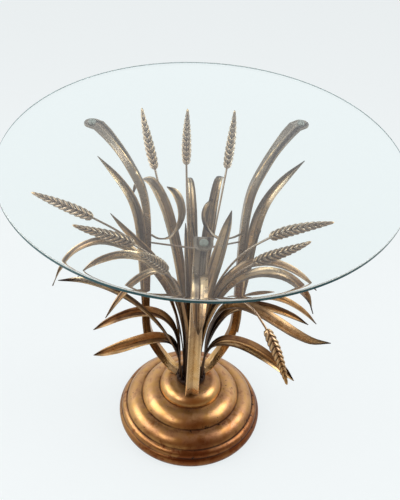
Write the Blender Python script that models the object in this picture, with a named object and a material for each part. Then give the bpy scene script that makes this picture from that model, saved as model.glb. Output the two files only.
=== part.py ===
"""Gilt-metal side table in the form of a wheat sheaf, with a loose round glass top.

Metres, +Z up.  The origin is the centre of the base on the floor.  Azimuths are in degrees from +X
towards +Y, so the front arm, at about -90, points along -Y.
"""
import math

import bmesh
import bpy
from mathutils import Matrix, Vector

# Points on a curve where its length is measured, and the angle from which an edge is shaded sharp
FINE_STEPS = 300
SHARP_ANGLE = 32.0

# Overall
TABLE_HEIGHT = 0.580
CLEARANCE = 0.0003

# Glass top
GLASS_DIAMETER = 0.600
GLASS_THICKNESS = 0.006
GLASS_EDGE_ROUND = 0.002
GLASS_SEGMENTS = 64

# Spun base: a rounded rim, three rolls and a dome, with a groove between each and the next
BASE_FOOT_RADIUS = 0.1295
BASE_WALL = 0.0015
BASE_SEGMENTS = 36
BASE_GROOVES = ((0.128, 0.0205), (0.1185, 0.033), (0.090, 0.0535), (0.057, 0.074))
BASE_BULGES = (0.0042, 0.0030, 0.0065, 0.0065, 0.0060)
BASE_ARC_STEPS = 4
DOME_HEIGHT = 0.095
DOME_FLAT_RADIUS = 0.034

# Weight, felt and the rod that clamps the base to the sheaf
FELT_THICKNESS = 0.003
BALLAST_RADIUS = 0.100
BALLAST_HEIGHT = 0.018
BALLAST_POCKET_RADIUS = 0.013
BALLAST_POCKET_DEPTH = 0.010
ROD_RADIUS = 0.004
ROD_GRIP = 0.006
SLEEVE_WALL = 0.003
SLEEVE_SEGMENTS = 20
WASHER_RADIUS = 0.0105
WASHER_THICKNESS = 0.0015
WASHER_SEGMENTS = 24
NUT_ACROSS_FLATS = 0.013
NUT_HEIGHT = 0.006
NUT_SIDES = 6

# Hub that the roots are brazed to, with three rings of roots
HUB_HEIGHT = 0.010
HUB_MARGIN = 0.004
HUB_BEVEL = 0.0017
ROOT_RINGS = {"outer": 0.0225, "middle": 0.0145, "inner": 0.0085}

# Arms: folded strips with a flat foot and a flat round tab; the ridge of the fold faces the axis
ARM_AZIMUTHS = {"front": -87.0, "right": 40.0, "left": 153.5}
ARM_REACHES = {"front": 0.187, "right": 0.195, "left": 0.198}
ARM_WAIST = 0.096
ARM_THICKNESS = 0.0025
ARM_FOOT_WIDTH = 0.022
ARM_NECK_WIDTH = 0.020
ARM_FOLD_DEPTH = 0.006
ARM_FOOT_LENGTH = 0.008
ARM_STEPS = 32
# Shares of the arm's length: where the foot starts to narrow and over how much, where the fold has
# run out below the tab and over how much it grows from either end, and how much flares to the tab
ARM_NARROW_START = 0.05
ARM_NARROW_SHARE = 0.30
ARM_FOLD_END = 0.95
ARM_FOLD_SHARE = 0.12
TAB_FLARE_SHARE = 0.10
TAB_RADIUS = 0.0125
TAB_LEAD_IN = 0.001
TAB_STEPS = 5
TAB_ROUND_SHARE = 0.97
# Lower bends as radius and height over the dome; upper bends as a share of the way from the waist to
# the tab's hole, and a drop below the tab
ARM_LOWER_BENDS = ((0.053, 0.014), (0.077, 0.038), (0.094, 0.070), (0.098, 0.115))
ARM_UPPER_BENDS = ((0.010, 0.280), (0.000, 0.188), (0.030, 0.127), (0.115, 0.090), (0.275, 0.062),
                   (0.465, 0.036), (0.685, 0.014))

# Clear bumpers that sit in the tab holes and carry the glass
PAD_RADIUS = 0.0060
PAD_RISE = 0.003
PAD_STEM_RADIUS = 0.0025
PAD_BARB_RADIUS = 0.0036
PAD_BARB_HEIGHT = 0.002
PAD_CROWN_RADIUS = 0.0048
PAD_SEAT_MARGIN = 0.0012
PAD_SEGMENTS = 16

# Wire that ties the front arm to the two at the back
TIE_WIRE_RADIUS = 0.0015
TIE_BACK_DROP = 0.193
TIE_FRONT_DROP = 0.085
TIE_BEND_SHARE = 0.08
TIE_LEG_SHARE = 0.4
TIE_STEPS = 18
TIE_SIDES = 6

# Sheet leaves: root width, sheet thickness and the slope of each half of the fold
LEAF_ROOT_WIDTH = 0.004
LEAF_TIP_WIDTH = 0.0008
LEAF_THICKNESS = 0.0012
LEAF_FOLD_SLOPE = 0.55
LEAF_STEPS = 12
LEAF_ROOT_SHARE = 0.20
LEAF_SWELL_DELAY = 1.3
LEAF_SWELL_POWER = 0.55
LEAF_ROLL_SHARE = 0.5

# Leaves and blades from the hub.  Each row: name, root ring, root azimuth, leaf azimuth, rise of the
# root's own tangent, then the shoulder and the tip as radius and drop below the glass, then width and
# the roll, in degrees, that lifts the edge on the side of rising azimuth.
LEAVES = (
    ("leaf_left_low", "outer", 186, 190, 0.160, (0.095, 0.390), (0.176, 0.404), 0.024, -26),
    ("leaf_left_middle", "outer", 204, 198, 0.200, (0.090, 0.269), (0.175, 0.315), 0.020, -26),
    ("leaf_left_rising", "outer", 222, 212, 0.120, (0.148, 0.163), (0.236, 0.141), 0.018, -14),
    ("leaf_left_drooping", "outer", 247, 221, 0.330, (0.098, 0.131), (0.178, 0.221), 0.018, 0),
    ("leaf_right_low", "outer", 322, -30, 0.180, (0.143, 0.320), (0.199, 0.356), 0.024, 26),
    ("leaf_right_broad", "outer", 341, -18, 0.360, (0.160, 0.353), (0.237, 0.288), 0.028, 0),
    ("leaf_right_middle", "outer", 359, -4, 0.160, (0.065, 0.234), (0.195, 0.309), 0.018, 20),
    ("leaf_right_back", "outer", 17, 9, 0.130, (0.090, 0.189), (0.220, 0.354), 0.016, 20),
    ("leaf_left_short", "middle", 169, 175, 0.255, (0.080, 0.214), (0.142, 0.121), 0.017, -30),
    ("leaf_left_arching", "middle", 192, 188.5, 0.262, (0.165, 0.040), (0.235, 0.238), 0.017, -16),
    ("leaf_left_upper", "middle", 218, 203, 0.345, (0.145, 0.126), (0.197, 0.176), 0.019, -20),
    ("leaf_right_upper", "middle", 334, -26, 0.320, (0.180, 0.109), (0.205, 0.208), 0.022, 20),
    ("leaf_right_sloping", "middle", 3, 6, 0.300, (0.110, 0.154), (0.205, 0.261), 0.018, 20),
    ("leaf_right_upright", "middle", 36, 18, 0.160, (0.066, 0.264), (0.104, 0.151), 0.014, 25),
    ("leaf_front_upright", "middle", 298, -66, 0.180, (0.078, 0.174), (0.110, 0.014), 0.026, 0),
    ("blade_back_left", "middle", 138, 136, 0.195, (0.100, -0.016), (0.165, 0.160), 0.024, 0),
    ("blade_back", "middle", 106, 104, 0.200, (0.060, 0.032), (0.110, 0.110), 0.018, 0),
    ("blade_back_right", "middle", 64, 66, 0.200, (0.055, -0.006), (0.085, 0.084), 0.022, 0),
    ("blade_front_left", "middle", 237, 225, 0.150, (0.030, 0.174), (0.030, 0.104), 0.016, 0),
    ("blade_front", "inner", 270, 225, 0.150, (0.004, 0.154), (0.016, 0.109), 0.014, 0),
)

# Leaves brazed to the arms' edges: name, arm, side of the arm, drops of the two ends below the tab,
# how far the tip parts from the edge sideways and outwards, width and roll
ARM_LEAVES = (
    ("leaf_by_left_arm", "left", 1, 0.400, 0.022, 0.032, 0.002, 0.020, -24),
    ("leaf_by_right_arm", "right", -1, 0.400, 0.022, 0.036, 0.014, 0.021, 32),
)
ARM_LEAF_PARTING_POWER = 5

# Curled leaves brazed to the ridges of the two arms at the back: name, arm, drop of the root below the
# tab, then the two bends and the tip as radius and drop below the glass, then width
CURLED_LEAVES = (
    ("leaf_curled_left", "left", 0.176, (0.040, 0.198), (0.018, 0.084), (0.061, 0.073), 0.024),
    ("leaf_curled_right", "right", 0.176, (0.026, 0.189), (-0.012, 0.092), (0.024, 0.082), 0.014),
)

# Leaf brazed into the fold of the front arm, bending over towards the front
FRONT_LEAF_ROOT_DROP = 0.215
FRONT_LEAF_SHOULDER = (0.140, 0.044)
FRONT_LEAF_TIP = (0.190, 0.168)
FRONT_LEAF_RISE = 0.070
FRONT_LEAF_WIDTH = 0.024

# Ears of wheat on wire stems
EAR_LENGTH = 0.105
EAR_WIDTH = 0.0165
EAR_DEPTH = 0.020
EAR_KERNELS = 9
KERNEL_PINCH_SHARE = 0.84
KERNEL_CREST_SHARE = 0.40
EAR_BASE_SHARE = 0.55
EAR_FULLEST_SHARE = 0.25
EAR_TIP_SHARE = 0.20
EAR_TAPER_POWER = 2.0
EAR_TIP_RADIUS = 0.0006
EAR_SIDES = 8
CHEVRON_LENGTH = 0.006
STEM_RADIUS = 0.0018
STEM_STEPS = 9
# Each row: name, root ring, root azimuth, ear azimuth, rise, shoulder, tip
EARS = (
    ("ear_back_left", "outer", 127, 123, 0.225, (0.185, 0.084), (0.198, 0.018)),
    ("ear_back", "outer", 100, 101, 0.195, (0.190, 0.194), (0.172, 0.016)),
    ("ear_back_right", "outer", 74, 76, 0.240, (0.190, 0.154), (0.183, 0.018)),
    ("ear_left", "outer", 166, 174, 0.300, (0.120, 0.154), (0.270, 0.102)),
    ("ear_left_front", "inner", 188, 192.5, 0.330, (0.120, 0.150), (0.196, 0.105)),
    ("ear_front_left", "outer", 262, 238, 0.240, (0.080, 0.154), (0.156, 0.074)),
    ("ear_right", "inner", 20, 3, 0.300, (0.100, 0.134), (0.210, 0.108)),
    ("ear_right_front", "inner", 340, -9, 0.290, (0.105, 0.184), (0.175, 0.118)),
    ("ear_hanging", "outer", 304, -40, 0.275, (0.115, 0.129), (0.205, 0.330)),
)

# Places worked out from the sizes above
GLASS_UNDERSIDE = TABLE_HEIGHT - GLASS_THICKNESS
TAB_TOP = GLASS_UNDERSIDE - CLEARANCE - PAD_RISE
TAB_MIDDLE = TAB_TOP - ARM_THICKNESS / 2
HUB_RADIUS = ROOT_RINGS["outer"] + HUB_MARGIN
HUB_BOTTOM = DOME_HEIGHT + CLEARANCE
HUB_TOP = HUB_BOTTOM + HUB_HEIGHT
ROOT_HEIGHT = HUB_TOP + CLEARANCE
FOOT_MIDDLE = DOME_HEIGHT + CLEARANCE + ARM_THICKNESS / 2
BALLAST_BOTTOM = FELT_THICKNESS + CLEARANCE
BALLAST_TOP = BALLAST_BOTTOM + BALLAST_HEIGHT
BORE_RADIUS = ROD_RADIUS + CLEARANCE
PAD_SEAT_RADIUS = PAD_RADIUS + PAD_SEAT_MARGIN


def make_material(name, colour, metallic, roughness, transmission=0.0):
    material = bpy.data.materials.new(name)
    material.use_nodes = True
    shader = material.node_tree.nodes["Principled BSDF"]
    shader.inputs["Base Color"].default_value = (*colour, 1.0)
    shader.inputs["Metallic"].default_value = metallic
    shader.inputs["Roughness"].default_value = roughness
    shader.inputs["Transmission Weight"].default_value = transmission
    return material


def make_group(name, height):
    group = bpy.data.objects.new(name, None)
    group.location = (0.0, 0.0, height)
    bpy.context.collection.objects.link(group)
    return group


def add_object(name, bm, material, group, azimuth=0.0):
    """Turn the mesh into an object of the group; the mesh is in metres from the table's origin."""
    bmesh.ops.recalc_face_normals(bm, faces=bm.faces)
    mesh = bpy.data.meshes.new(name)
    bm.to_mesh(mesh)
    bm.free()
    mesh.transform(Matrix.Translation((0.0, 0.0, -group.location.z)))
    mesh.shade_smooth()
    mesh.set_sharp_from_angle(angle=math.radians(SHARP_ANGLE))
    mesh.materials.append(material)
    obj = bpy.data.objects.new(name, mesh)
    obj.rotation_euler.z = math.radians(azimuth)
    obj.parent = group
    bpy.context.collection.objects.link(obj)
    return obj


def turn(profile, segments):
    """Revolve a closed outline of (radius, height) points round the Z axis."""
    bm = bmesh.new()
    verts = [bm.verts.new((radius, 0.0, height)) for radius, height in profile]
    edges = []
    for start, end in zip(verts, verts[1:] + verts[:1]):
        if start.co.x > 0.0 or end.co.x > 0.0:
            edges.append(bm.edges.new((start, end)))
    bmesh.ops.spin(bm, geom=verts + edges, cent=(0.0, 0.0, 0.0), axis=(0.0, 0.0, 1.0), angle=math.tau,
                   steps=segments, use_merge=True)
    bmesh.ops.remove_doubles(bm, verts=bm.verts, dist=1e-6)
    return bm


def loft(rings):
    """Skin rings of equal point counts and close both ends."""
    bm = bmesh.new()
    loops = [[bm.verts.new(point) for point in ring] for ring in rings]
    for near, far in zip(loops, loops[1:]):
        for index in range(len(near)):
            after = (index + 1) % len(near)
            bm.faces.new((near[index], near[after], far[after], far[index]))
    bm.faces.new(loops[0])
    bm.faces.new(loops[-1])
    return bm


def bulged_arc(start, end, bulge, steps):
    """Points from start to end, end left out, on an arc that swells by bulge on its right side."""
    start = Vector(start)
    end = Vector(end)
    chord = end - start
    outward = Vector((chord.y, -chord.x)).normalized()
    half = chord.length / 2
    radius = (half * half + bulge * bulge) / (2 * bulge)
    centre = (start + end) / 2 + outward * (bulge - radius)
    half_angle = math.asin(half / radius)
    arm = start - centre
    points = []
    for step in range(steps):
        turned = Matrix.Rotation(2 * half_angle * step / steps, 2) @ arm
        points.append(centre + turned)
    return points


def offset_inward(points, distance):
    """Move an open outline to its left by distance."""
    moved = []
    for index, point in enumerate(points):
        before = points[max(index - 1, 0)]
        after = points[min(index + 1, len(points) - 1)]
        first = (point - before).normalized() if index else (after - point).normalized()
        second = (after - point).normalized() if after is not point else first
        normal = Vector((-first.y - second.y, first.x + second.x)).normalized()
        spread = max(0.5, normal.dot(Vector((-first.y, first.x))))
        moved.append(point + normal * distance / spread)
    return moved


def bezier(points, t):
    a, b, c, d = points
    u = 1.0 - t
    return a * u**3 + b * 3 * t * u * u + c * 3 * t * t * u + d * t**3


def smooth_path(points, t):
    """Point at t, from 0 to 1, of a smooth curve through the points."""
    spans = len(points) - 1
    place = min(t * spans, spans - 1e-9)
    index = int(place)
    u = place - index
    p1 = points[index]
    p2 = points[index + 1]
    p0 = points[index - 1] if index else p1 * 2 - p2
    p3 = points[index + 2] if index + 2 <= spans else p2 * 2 - p1
    bend = p0 * 2 - p1 * 5 + p2 * 4 - p3
    twist = p1 * 3 - p0 - p2 * 3 + p3
    return (p1 * 2 + (p2 - p0) * u + bend * u * u + twist * u**3) / 2


def fine_points(path):
    return [path(step / FINE_STEPS) for step in range(FINE_STEPS + 1)]


def path_length(path):
    fine = fine_points(path)
    return sum((after - before).length for before, after in zip(fine, fine[1:]))


def even_stations(path, count, start=0.0, end=None):
    """Points and directions at even distances along a path, between two lengths from its start."""
    fine = fine_points(path)
    lengths = [0.0]
    for before, after in zip(fine, fine[1:]):
        lengths.append(lengths[-1] + (after - before).length)
    end = lengths[-1] if end is None else end
    stations = []
    index = 0
    for step in range(count + 1):
        target = start + (end - start) * step / count
        while index < FINE_STEPS - 1 and lengths[index + 1] < target:
            index += 1
        share = (target - lengths[index]) / (lengths[index + 1] - lengths[index])
        along = (fine[index + 1] - fine[index]).normalized()
        stations.append((fine[index].lerp(fine[index + 1], share), along))
    return stations


def frames(stations, side_hint=Vector((0.0, 1.0, 0.0))):
    """For each station: its point, its side direction and the direction square to side and path."""
    result = []
    for point, along in stations:
        side = (side_hint - along * side_hint.dot(along)).normalized()
        result.append((point, side, along.cross(side)))
    return result


def leaf_half_width(share, width):
    """Half width along a leaf: a narrow root, widest past the middle, and a pointed tip."""
    blade = max(share - LEAF_ROOT_SHARE, 0.0) / (1.0 - LEAF_ROOT_SHARE)
    swell = max(math.sin(math.pi * blade**LEAF_SWELL_DELAY), 0.0) ** LEAF_SWELL_POWER
    root = LEAF_ROOT_WIDTH * (1.0 - share) + LEAF_TIP_WIDTH * share
    return (root + (width - LEAF_ROOT_WIDTH) * swell) / 2


def leaf_section(point, side, up, half_width):
    """A folded sheet: both halves rise from the midrib."""
    lift = half_width * LEAF_FOLD_SLOPE
    skin = LEAF_THICKNESS / 2
    places = ((-half_width, lift + skin), (0.0, skin), (half_width, lift + skin),
              (half_width, lift - skin), (0.0, -skin), (-half_width, lift - skin))
    return [point + side * across + up * height for across, height in places]


def leaf_mesh(stations, width, roll=0.0):
    """A leaf along the stations; its roll grows over the first part of its length."""
    rings = []
    for index, (point, side, up) in enumerate(frames(stations)):
        share = index / (len(stations) - 1)
        turned = Matrix.Rotation(math.radians(roll) * min(share / LEAF_ROLL_SHARE, 1.0), 3, side.cross(up))
        rings.append(leaf_section(point, turned @ side, turned @ up, leaf_half_width(share, width)))
    return loft(rings)


def root_curve(ring, root_azimuth, azimuth, rise, shoulder, tip):
    """Curve from the hub to a tip, in the plane of the leaf's own azimuth."""
    swing = math.radians(root_azimuth - azimuth)
    radius = ROOT_RINGS[ring]
    root = Vector((radius * math.cos(swing), radius * math.sin(swing), ROOT_HEIGHT))
    controls = (root, root + Vector((0.0, 0.0, rise)),
                Vector((shoulder[0], 0.0, GLASS_UNDERSIDE - shoulder[1])),
                Vector((tip[0], 0.0, GLASS_UNDERSIDE - tip[1])))
    return lambda t: bezier(controls, t)


def ear_section(point, side, up, along, half_width, half_depth, lead):
    """An oval ring whose two sides lead towards the tip, so that the rings make chevrons."""
    ring = []
    for index in range(EAR_SIDES):
        angle = math.tau * index / EAR_SIDES
        across = math.cos(angle)
        ring.append(point + side * across * half_width + up * math.sin(angle) * half_depth
                    + along * lead * abs(across))
    return ring


def ear_swell(share):
    """Size along an ear: it fills out quickly from its base and tapers to a point."""
    if share < EAR_FULLEST_SHARE:
        return EAR_BASE_SHARE + (1.0 - EAR_BASE_SHARE) * math.sin(math.pi / 2 * share / EAR_FULLEST_SHARE)
    fall = (share - EAR_FULLEST_SHARE) / (1.0 - EAR_FULLEST_SHARE)
    return 1.0 - (1.0 - EAR_TIP_SHARE) * fall**EAR_TAPER_POWER


def ear_rings(path, start, end):
    """Rings of the kernels: each kernel swells from a pinch and tapers to the next."""
    places = []
    for kernel in range(EAR_KERNELS):
        places.append((kernel / EAR_KERNELS, KERNEL_PINCH_SHARE))
        places.append(((kernel + KERNEL_CREST_SHARE) / EAR_KERNELS, 1.0))
    rings = []
    for share, size in places:
        length = start + (end - CHEVRON_LENGTH - start) * share
        (point, side, up), _ = frames(even_stations(path, 1, length, end))
        swell = size * ear_swell(share)
        rings.append(ear_section(point, side, up, side.cross(up), EAR_WIDTH / 2 * swell,
                                 EAR_DEPTH / 2 * swell, CHEVRON_LENGTH))
    _, (point, side, up) = frames(even_stations(path, 1, start, end - CHEVRON_LENGTH))
    rings.append(ear_section(point, side, up, side.cross(up), EAR_TIP_RADIUS, EAR_TIP_RADIUS,
                             CHEVRON_LENGTH))
    return rings


def ear_mesh(path):
    length = path_length(path)
    start = length - EAR_LENGTH
    stem = frames(even_stations(path, STEM_STEPS, 0.0, start - STEM_RADIUS))
    rings = []
    for point, side, up in stem:
        rings.append(ear_section(point, side, up, side.cross(up), STEM_RADIUS, STEM_RADIUS, 0.0))
    return loft(rings + ear_rings(path, start, length))


def arm_path(arm):
    """Middle of the arm's strip from the foot on the dome to the bend at the tab."""
    foot = HUB_RADIUS + CLEARANCE
    reach = ARM_REACHES[arm]
    places = [(foot, FOOT_MIDDLE), (foot + ARM_FOOT_LENGTH, FOOT_MIDDLE)]
    places += [(radius, FOOT_MIDDLE + height) for radius, height in ARM_LOWER_BENDS]
    for share, drop in ARM_UPPER_BENDS:
        places.append((ARM_WAIST + (reach - ARM_WAIST) * share, TAB_MIDDLE - drop))
    places += [(reach - TAB_RADIUS, TAB_MIDDLE - TAB_LEAD_IN)]
    points = [Vector((radius, 0.0, height)) for radius, height in places]
    return lambda t: smooth_path(points, t)


def arm_widths(share):
    """Width and fold depth at a share of the arm's length; the foot and the tab are flat."""
    neck = min(max((share - ARM_NARROW_START) / ARM_NARROW_SHARE, 0.0), 1.0)
    width = ARM_FOOT_WIDTH + (ARM_NECK_WIDTH - ARM_FOOT_WIDTH) * neck
    tab = min(max((share - 1.0 + TAB_FLARE_SHARE) / TAB_FLARE_SHARE, 0.0), 1.0)
    width += (2 * TAB_RADIUS - ARM_NECK_WIDTH) * tab * tab * (3 - 2 * tab)
    ends = min(share / ARM_FOLD_SHARE, (ARM_FOLD_END - share) / ARM_FOLD_SHARE, 1.0)
    return width, ARM_FOLD_DEPTH * max(ends, 0.0)


def arm_section(point, side, out, width, depth):
    half = width / 2
    skin = ARM_THICKNESS / 2
    places = ((-half, skin), (0.0, skin - depth), (half, skin), (half, -skin), (0.0, -skin - depth),
              (-half, -skin))
    return [point + side * across + out * height for across, height in places]


def arm_frames(arm):
    """Frames along the arm; the third direction points away from the axis and down at the tab."""
    return [(point, side, -up) for point, side, up in frames(even_stations(arm_path(arm), ARM_STEPS))]


def arm_mesh(arm):
    lines = arm_frames(arm)
    rings = []
    for index, (point, side, out) in enumerate(lines):
        width, depth = arm_widths(index / ARM_STEPS)
        rings.append(arm_section(point, side, out, width, depth))
    flat = [(-PAD_SEAT_RADIUS, 2 * TAB_RADIUS)]
    for step in range(TAB_STEPS + 1):
        angle = math.pi / 2 * TAB_ROUND_SHARE * step / TAB_STEPS
        flat.append((TAB_RADIUS * math.sin(angle), 2 * TAB_RADIUS * math.cos(angle)))
    for past_hole, width in flat:
        middle = Vector((ARM_REACHES[arm] + past_hole, 0.0, TAB_MIDDLE))
        rings.append(arm_section(middle, Vector((0.0, 1.0, 0.0)), Vector((0.0, 0.0, -1.0)), width, 0.0))
    return loft(rings)


def arm_place(arm, drop):
    """Frame and width of an arm where its strip is a given drop below the tab."""
    lines = [(index / ARM_STEPS, line) for index, line in enumerate(arm_frames(arm))]
    target = TAB_MIDDLE - drop
    for (low_share, low), (high_share, high) in zip(lines, lines[1:]):
        if low[0].z <= target < high[0].z:
            share = (target - low[0].z) / (high[0].z - low[0].z)
            place = low_share + (high_share - low_share) * share
            line = [a.lerp(b, share) for a, b in zip(low, high)]
            return line, arm_widths(place)
    raise ValueError("the drop lies outside the arm")


def pad_profile():
    barb_top = TAB_TOP - ARM_THICKNESS - CLEARANCE
    pad_bottom = TAB_TOP + CLEARANCE
    pad_top = TAB_TOP + PAD_RISE
    return [(0.0, pad_top), (PAD_CROWN_RADIUS, pad_top), (PAD_RADIUS, (pad_top + pad_bottom) / 2),
            (PAD_RADIUS, pad_bottom), (PAD_STEM_RADIUS, pad_bottom), (PAD_STEM_RADIUS, barb_top),
            (PAD_BARB_RADIUS, barb_top), (PAD_STEM_RADIUS, barb_top - PAD_BARB_HEIGHT),
            (0.0, barb_top - PAD_BARB_HEIGHT)]


def build_base(gilt, iron, felt, steel):
    group = make_group("base", 0.0)
    corners = [(BASE_FOOT_RADIUS, 0.0), *BASE_GROOVES, (DOME_FLAT_RADIUS, DOME_HEIGHT)]
    outline = []
    for start, end, bulge in zip(corners, corners[1:], BASE_BULGES):
        outline += bulged_arc(start, end, bulge, BASE_ARC_STEPS)
    outline.append(Vector(corners[-1]))
    outline.append(Vector((BORE_RADIUS, DOME_HEIGHT)))
    inside = offset_inward(outline, BASE_WALL)
    inside = inside[:-2:2] + inside[-2:]
    inside[0].y = 0.0
    inside[-1].x = BORE_RADIUS
    shell = [tuple(point) for point in outline] + [tuple(point) for point in reversed(inside)]
    add_object("base_shell", turn(shell, BASE_SEGMENTS), gilt, group)

    felt_radius = inside[0].x - CLEARANCE
    felt_outline = [(0.0, 0.0), (felt_radius, 0.0), (felt_radius, FELT_THICKNESS), (0.0, FELT_THICKNESS)]
    add_object("felt_disc", turn(felt_outline, BASE_SEGMENTS), felt, group)

    pocket_top = BALLAST_BOTTOM + BALLAST_POCKET_DEPTH
    ballast = [(BALLAST_POCKET_RADIUS, BALLAST_BOTTOM), (BALLAST_RADIUS, BALLAST_BOTTOM),
               (BALLAST_RADIUS, BALLAST_TOP), (BORE_RADIUS, BALLAST_TOP), (BORE_RADIUS, pocket_top),
               (BALLAST_POCKET_RADIUS, pocket_top)]
    add_object("ballast_disc", turn(ballast, BASE_SEGMENTS), iron, group)

    washer_top = pocket_top - CLEARANCE
    washer_bottom = washer_top - WASHER_THICKNESS
    washer = [(BORE_RADIUS, washer_bottom), (WASHER_RADIUS, washer_bottom), (WASHER_RADIUS, washer_top),
              (BORE_RADIUS, washer_top)]
    add_object("rod_washer", turn(washer, WASHER_SEGMENTS), steel, group)

    nut_top = washer_bottom - CLEARANCE
    corner = NUT_ACROSS_FLATS / math.sqrt(3)
    nut = [(BORE_RADIUS, nut_top - NUT_HEIGHT), (corner, nut_top - NUT_HEIGHT), (corner, nut_top),
           (BORE_RADIUS, nut_top)]
    add_object("rod_nut", turn(nut, NUT_SIDES), steel, group)

    rod_bottom = nut_top - NUT_HEIGHT
    rod_top = HUB_BOTTOM + ROD_GRIP
    rod_corner = ROD_RADIUS * math.cos(math.pi / NUT_SIDES)
    rod = [(0.0, rod_bottom), (rod_corner, rod_bottom), (rod_corner, rod_top), (0.0, rod_top)]
    add_object("tie_rod", turn(rod, NUT_SIDES), steel, group)

    sleeve_bottom = BALLAST_TOP + CLEARANCE
    sleeve_top = DOME_HEIGHT - BASE_WALL - CLEARANCE
    sleeve_radius = BORE_RADIUS + SLEEVE_WALL
    sleeve = [(BORE_RADIUS, sleeve_bottom), (sleeve_radius, sleeve_bottom), (sleeve_radius, sleeve_top),
              (BORE_RADIUS, sleeve_top)]
    add_object("rod_sleeve", turn(sleeve, SLEEVE_SEGMENTS), steel, group)


def build_hub(gilt, group):
    socket_top = HUB_BOTTOM + ROD_GRIP + CLEARANCE
    hub = [(BORE_RADIUS, HUB_BOTTOM), (HUB_RADIUS, HUB_BOTTOM), (HUB_RADIUS, HUB_TOP - HUB_BEVEL),
           (HUB_RADIUS - HUB_BEVEL, HUB_TOP), (0.0, HUB_TOP), (0.0, socket_top),
           (BORE_RADIUS, socket_top)]
    add_object("sheaf_hub", turn(hub, BASE_SEGMENTS), gilt, group)


def drill_tab(arm, group, azimuth, reach):
    """Cut the bumper's hole in an arm's tab."""
    bm = bmesh.new()
    place = Matrix.Translation((reach, 0.0, TAB_MIDDLE))
    bmesh.ops.create_cone(bm, cap_ends=True, segments=PAD_SEGMENTS, radius1=PAD_STEM_RADIUS + CLEARANCE,
                          radius2=PAD_STEM_RADIUS + CLEARANCE, depth=ARM_THICKNESS * 4, matrix=place)
    cutter = add_object(arm.name + "_drill", bm, arm.data.materials[0], group, azimuth)
    cutter.hide_render = True
    cutter.display_type = "WIRE"
    hole = arm.modifiers.new("hole", "BOOLEAN")
    hole.object = cutter


def build_arms(gilt, clear, group):
    for name, azimuth in ARM_AZIMUTHS.items():
        reach = ARM_REACHES[name]
        arm = add_object("arm_" + name, arm_mesh(name), gilt, group, azimuth)
        drill_tab(arm, group, azimuth, reach)
        bm = turn(pad_profile(), PAD_SEGMENTS)
        bmesh.ops.translate(bm, verts=bm.verts, vec=(reach, 0.0, 0.0))
        add_object("bumper_" + name, bm, clear, group, azimuth)


def tie_point(arm, drop):
    """Where the tie wire's middle passes the ridge on the inner side of an arm."""
    (point, _, out), (_, depth) = arm_place(arm, drop)
    inset = depth + ARM_THICKNESS / 2 + CLEARANCE + TIE_WIRE_RADIUS
    return Matrix.Rotation(math.radians(ARM_AZIMUTHS[arm]), 3, "Z") @ (point - out * inset)


def tie_path():
    """Two straight legs from the arms at the back, joined by a short bend at the front arm's ridge."""
    left = tie_point("left", TIE_BACK_DROP)
    right = tie_point("right", TIE_BACK_DROP)
    bend = tie_point("front", TIE_FRONT_DROP)
    corner = (bend - (left + right) * TIE_BEND_SHARE / 4) / (1.0 - TIE_BEND_SHARE / 2)
    near_left = corner.lerp(left, TIE_BEND_SHARE)
    near_right = corner.lerp(right, TIE_BEND_SHARE)

    def path(t):
        if t < TIE_LEG_SHARE:
            return left.lerp(near_left, t / TIE_LEG_SHARE)
        if t > 1.0 - TIE_LEG_SHARE:
            return right.lerp(near_right, (1.0 - t) / TIE_LEG_SHARE)
        u = (t - TIE_LEG_SHARE) / (1.0 - 2 * TIE_LEG_SHARE)
        return near_left.lerp(corner, u).lerp(corner.lerp(near_right, u), u)

    return path


def build_tie_wire(gilt, group):
    rings = []
    for point, side, up in frames(even_stations(tie_path(), TIE_STEPS), Vector((0.0, 0.0, 1.0))):
        ring = []
        for index in range(TIE_SIDES):
            angle = math.tau * index / TIE_SIDES
            ring.append(point + (side * math.cos(angle) + up * math.sin(angle)) * TIE_WIRE_RADIUS)
        rings.append(ring)
    add_object("tie_wire", loft(rings), gilt, group)


def build_leaves(gilt, group):
    for name, ring, root_azimuth, azimuth, rise, shoulder, tip, width, roll in LEAVES:
        path = root_curve(ring, root_azimuth, azimuth, rise, shoulder, tip)
        mesh = leaf_mesh(even_stations(path, LEAF_STEPS), width, roll)
        add_object(name, mesh, gilt, group, azimuth)


def build_arm_leaves(gilt, group):
    """Leaves that run along an arm's edge and part from it towards their tips."""
    for name, arm, hand, root_drop, tip_drop, sideways, outwards, width, roll in ARM_LEAVES:
        stations = []
        for step in range(LEAF_STEPS + 1):
            share = step / LEAF_STEPS
            drop = root_drop + (tip_drop - root_drop) * share
            (point, side, out), (arm_width, _) = arm_place(arm, drop)
            hug = arm_width / 2 + leaf_half_width(share, width) + CLEARANCE
            parting = share**ARM_LEAF_PARTING_POWER
            place = point + side * hand * (hug + sideways * parting) + out * outwards * parting
            stations.append((place, side.cross(-out)))
        add_object(name, leaf_mesh(stations, width, roll), gilt, group, ARM_AZIMUTHS[arm])


def build_curled_leaves(gilt, group):
    for name, arm, root_drop, first, second, tip, width in CURLED_LEAVES:
        (point, _, out), (_, depth) = arm_place(arm, root_drop)
        root = point - out * (depth + ARM_THICKNESS / 2 + 2 * CLEARANCE)
        controls = [root]
        for radius, drop in (first, second, tip):
            controls.append(Vector((radius, 0.0, GLASS_UNDERSIDE - drop)))
        stations = even_stations(lambda t: bezier(controls, t), LEAF_STEPS)
        add_object(name, leaf_mesh(stations, width), gilt, group, ARM_AZIMUTHS[arm])


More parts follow.
